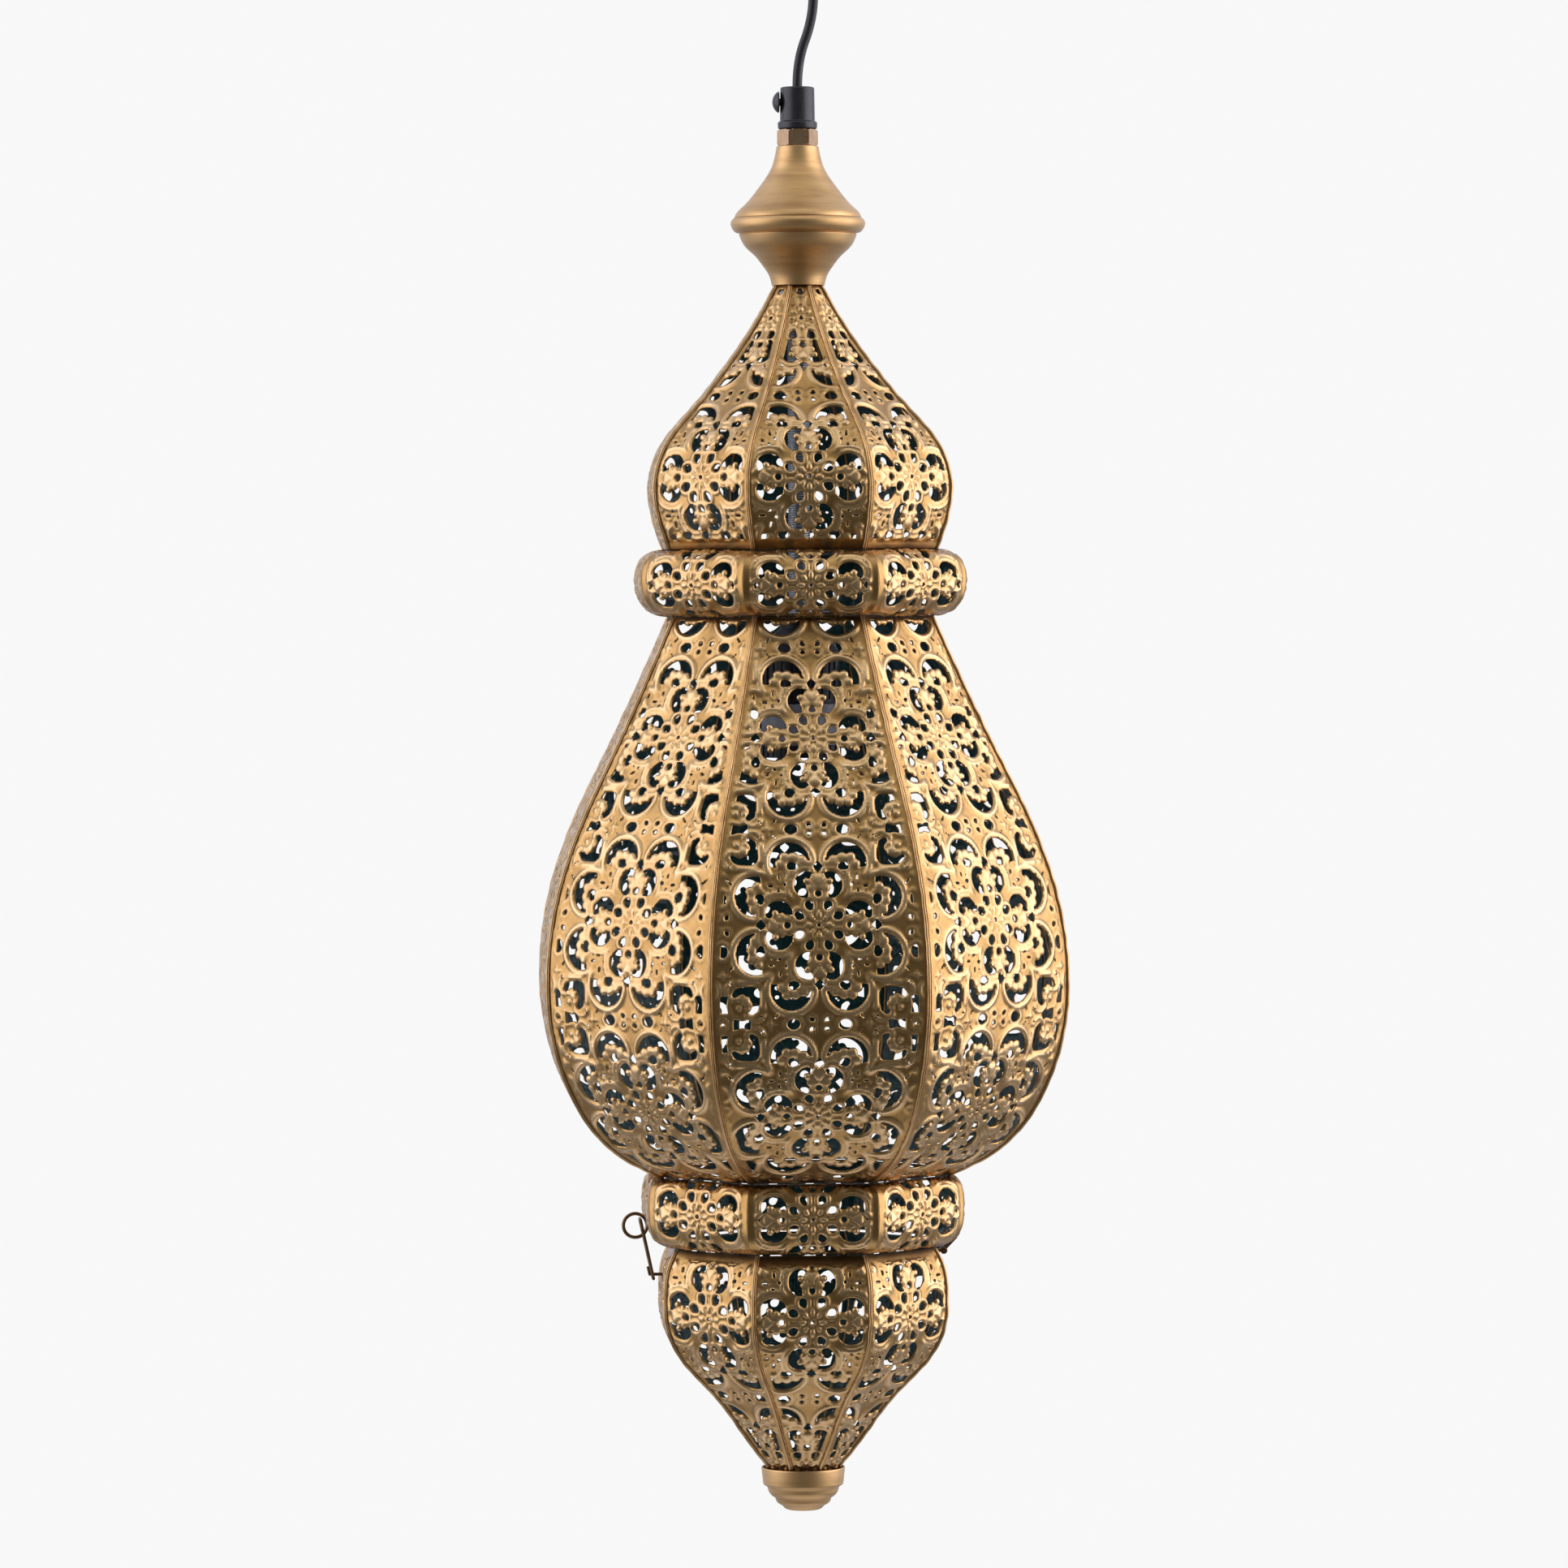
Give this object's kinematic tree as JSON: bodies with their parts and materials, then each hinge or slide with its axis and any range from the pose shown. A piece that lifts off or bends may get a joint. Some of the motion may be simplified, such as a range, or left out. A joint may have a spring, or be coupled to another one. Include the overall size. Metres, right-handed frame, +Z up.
{
  "type": "hanging lantern",
  "caption": "Eight-sided hanging lantern of pierced, embossed metal with a spun finial, a bulb-shaped body and a hinged bottom bowl held by a wire latch.",
  "frame": {"origin": "centre of the ceiling cup's face, midway between the bracket's two screw holes; the lantern hangs below it", "axes": "+Z up and along the lantern's axis; one flat side faces -Y, the bowl's hinge is at +X and its latch at -X"},
  "size_m": [0.2238, 0.2238, 0.73],
  "materials": {
    "antique_gold_sheet": "matt antique gold paint on pierced and embossed sheet, dark teal paint inside",
    "gold_seams": "matt antique gold, folded and soldered",
    "spun_brass": "satin spun antique brass with fine turning lines",
    "nut_brass": "bright satin brass",
    "black_plastic": "matt black moulded plastic",
    "flex_sheath": "smooth black cable sheath",
    "zinc_steel": "zinc plated",
    "holder_grey": "pale grey moulded skirt",
    "contact_brass": "bright contact brass",
    "aged_wire": "dark bronzed wire"
  },
  "bodies": {
    "lantern": {"dome_panel_1": "antique_gold_sheet", "body_panel_1": "antique_gold_sheet", "dome_panel_2": "antique_gold_sheet", "body_panel_2": "antique_gold_sheet", "dome_panel_3": "antique_gold_sheet", "body_panel_3": "antique_gold_sheet", "dome_panel_4": "antique_gold_sheet", "body_panel_4": "antique_gold_sheet", "dome_panel_5": "antique_gold_sheet", "body_panel_5": "antique_gold_sheet", "dome_panel_6": "antique_gold_sheet", "body_panel_6": "antique_gold_sheet", "dome_panel_7": "antique_gold_sheet", "body_panel_7": "antique_gold_sheet", "dome_panel_8": "antique_gold_sheet", "body_panel_8": "antique_gold_sheet", "upper_band": "antique_gold_sheet", "lower_band": "antique_gold_sheet", "dome_seams": "gold_seams", "body_seams": "gold_seams", "ceiling_cup": "spun_brass", "ceiling_bracket": "zinc_steel", "cup_side_screws": "nut_brass", "cup_nipple": "zinc_steel", "cup_nut": "nut_brass", "cup_cord_grip": "black_plastic", "cup_grip_screw": "black_plastic", "cord_grip": "black_plastic", "cord_grip_screw": "black_plastic", "flex": "flex_sheath", "top_lock_nut": "nut_brass", "finial_upper_cone": "spun_brass", "finial_bead": "spun_brass", "finial_lower_cone": "spun_brass", "threaded_rod": "zinc_steel", "retaining_washer": "zinc_steel", "retaining_nut": "zinc_steel", "lamp_holder_cap": "black_plastic", "lamp_holder_skirt": "holder_grey", "lamp_holder_ring": "black_plastic", "screw_shell": "contact_brass", "contact_block": "holder_grey", "centre_contact": "contact_brass", "hinge_band_leaf": "aged_wire", "hinge_pin": "aged_wire", "latch_eye": "aged_wire"},
    "bowl": {"bowl_panel_1": "antique_gold_sheet", "bowl_panel_2": "antique_gold_sheet", "bowl_panel_3": "antique_gold_sheet", "bowl_panel_4": "antique_gold_sheet", "bowl_panel_5": "antique_gold_sheet", "bowl_panel_6": "antique_gold_sheet", "bowl_panel_7": "antique_gold_sheet", "bowl_panel_8": "antique_gold_sheet", "bowl_seams": "gold_seams", "bottom_cap": "spun_brass", "hinge_bowl_leaf": "aged_wire", "latch_hook": "aged_wire"},
    "latch_link": {"latch_link": "aged_wire"}
  },
  "joints": [
    {"name": "bowl_swing", "type": "hinge", "parent": "lantern", "child": "bowl", "pos_m": [0.0606, 0, -0.6181], "axis": [0, -1, 0], "range_deg": [0, 110]},
    {"name": "latch_swing", "type": "hinge", "parent": "lantern", "child": "latch_link", "pos_m": [-0.06988, 0, -0.60407], "axis": [0, 1, 0], "range_deg": [0, 100]}
  ]
}
